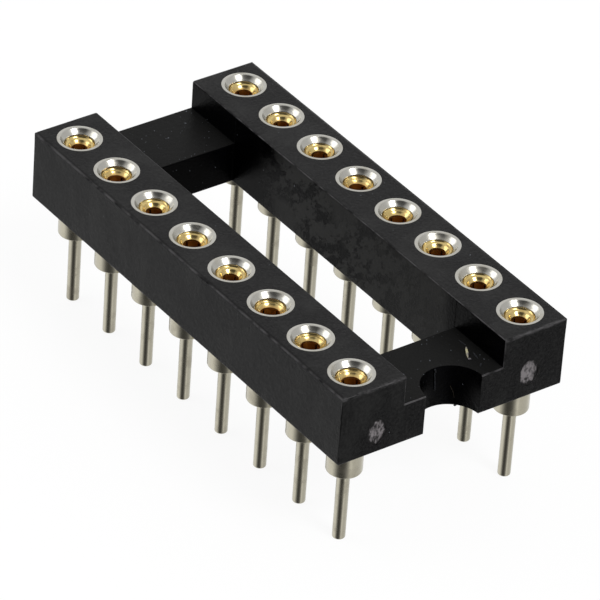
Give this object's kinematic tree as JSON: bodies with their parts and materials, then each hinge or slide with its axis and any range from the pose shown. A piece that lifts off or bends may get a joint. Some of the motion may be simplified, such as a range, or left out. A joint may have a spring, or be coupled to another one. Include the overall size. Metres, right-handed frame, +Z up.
{
  "type": "dual in-line integrated circuit socket",
  "caption": "Open-frame dual in-line chip socket: black moulded housing with a half-round polarity notch, turned contact sleeves with funnel mouths, gold spring clips and straight tails.",
  "frame": {"origin": "centre of the box's bottom: midway between the rows at the height of the tail tips", "axes": "+Z up, away from the circuit board; Y along the rails, with the polarity notch at -Y; X across the rows"},
  "size_m": [0.0102, 0.0202, 0.0074],
  "materials": {
    "housing": "semi-matt moulded black plastic",
    "sleeve": "tin-plated, finely turned",
    "clip": "bright gold plate"
  },
  "bodies": {
    "root": {"housing": "housing", "contact_sleeve_01": "sleeve", "contact_sleeve_02": "sleeve", "contact_sleeve_03": "sleeve", "contact_sleeve_04": "sleeve", "contact_sleeve_05": "sleeve", "contact_sleeve_06": "sleeve", "contact_sleeve_07": "sleeve", "contact_sleeve_08": "sleeve", "contact_sleeve_09": "sleeve", "contact_sleeve_10": "sleeve", "contact_sleeve_11": "sleeve", "contact_sleeve_12": "sleeve", "contact_sleeve_13": "sleeve", "contact_sleeve_14": "sleeve", "contact_sleeve_15": "sleeve", "contact_sleeve_16": "sleeve", "contact_clip_01": "clip", "contact_clip_02": "clip", "contact_clip_03": "clip", "contact_clip_04": "clip", "contact_clip_05": "clip", "contact_clip_06": "clip", "contact_clip_07": "clip", "contact_clip_08": "clip", "contact_clip_09": "clip", "contact_clip_10": "clip", "contact_clip_11": "clip", "contact_clip_12": "clip", "contact_clip_13": "clip", "contact_clip_14": "clip", "contact_clip_15": "clip", "contact_clip_16": "clip"}
  },
  "joints": []
}
